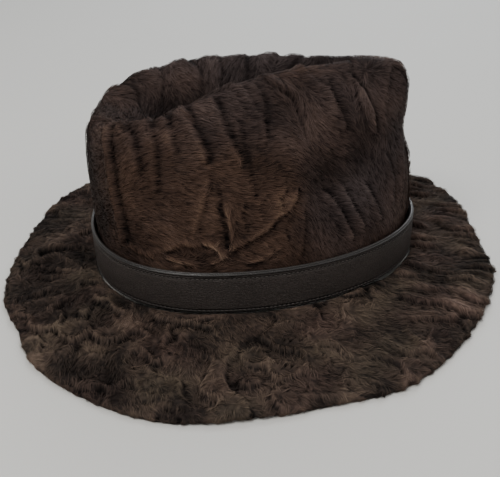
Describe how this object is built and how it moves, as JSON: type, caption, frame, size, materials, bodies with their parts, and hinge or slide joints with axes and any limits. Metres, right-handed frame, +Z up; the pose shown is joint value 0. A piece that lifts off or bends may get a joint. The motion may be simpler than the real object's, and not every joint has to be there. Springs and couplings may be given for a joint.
{
  "type": "fur fedora",
  "caption": "Fedora of short curly lamb pelt with a teardrop crown, a wide softly waved brim and a plain leather band, resting on its brim.",
  "frame": {"origin": "middle of the brim's outline, on the surface that the brim rests on", "axes": "+X to the front of the hat, +Y to the wearer's left, +Z up"},
  "size_m": [0.3131, 0.336, 0.1311],
  "materials": {
    "pelt": "short curly fur, soft sheen",
    "leather": "satin, fine grain"
  },
  "bodies": {
    "root": {"crown": "pelt", "brim": "pelt", "band": "leather", "band_welt": "leather"}
  },
  "joints": []
}
